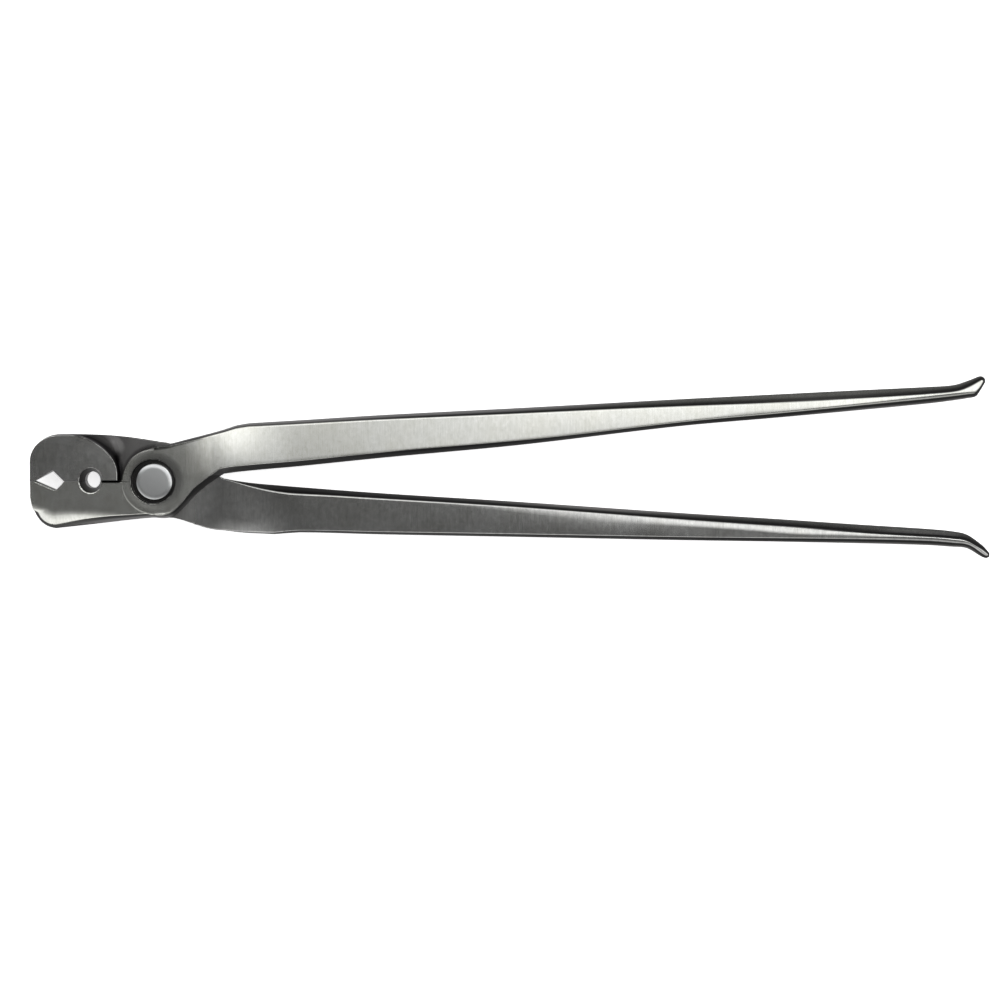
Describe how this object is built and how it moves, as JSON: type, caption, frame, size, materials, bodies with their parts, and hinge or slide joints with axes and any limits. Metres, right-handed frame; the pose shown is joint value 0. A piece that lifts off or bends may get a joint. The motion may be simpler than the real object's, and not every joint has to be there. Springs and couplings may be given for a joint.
{
  "type": "staple remover",
  "caption": "Long-handled forged steel staple remover: two crossing levers on a riveted lap joint, with notched jaws that open and close.",
  "frame": {"origin": "on the rivet's axis, at the back face of the closed rivet, in the plane that the tool lies on", "axes": "+X from the jaws to the grips, +Y towards the front lever's grip, +Z along the rivet towards its round head"},
  "size_m": [0.3046, 0.0579, 0.0121],
  "materials": {
    "front_lever_steel": "satin, ground across its length, darker forged sides",
    "rear_lever_steel": "satin, ground across its length, darker forged sides",
    "rivet_steel": "satin",
    "washer_steel": "satin"
  },
  "bodies": {
    "rear_half": {"rear_lever": "rear_lever_steel", "pivot_rivet": "rivet_steel", "rivet_washer": "washer_steel"},
    "front_half": {"front_lever": "front_lever_steel"}
  },
  "joints": [
    {"name": "jaw_pivot", "type": "hinge", "parent": "rear_half", "child": "front_half", "pos_m": [0, 0, 0.0055], "axis": [0, 0, 1], "range_deg": [0, 80]}
  ]
}
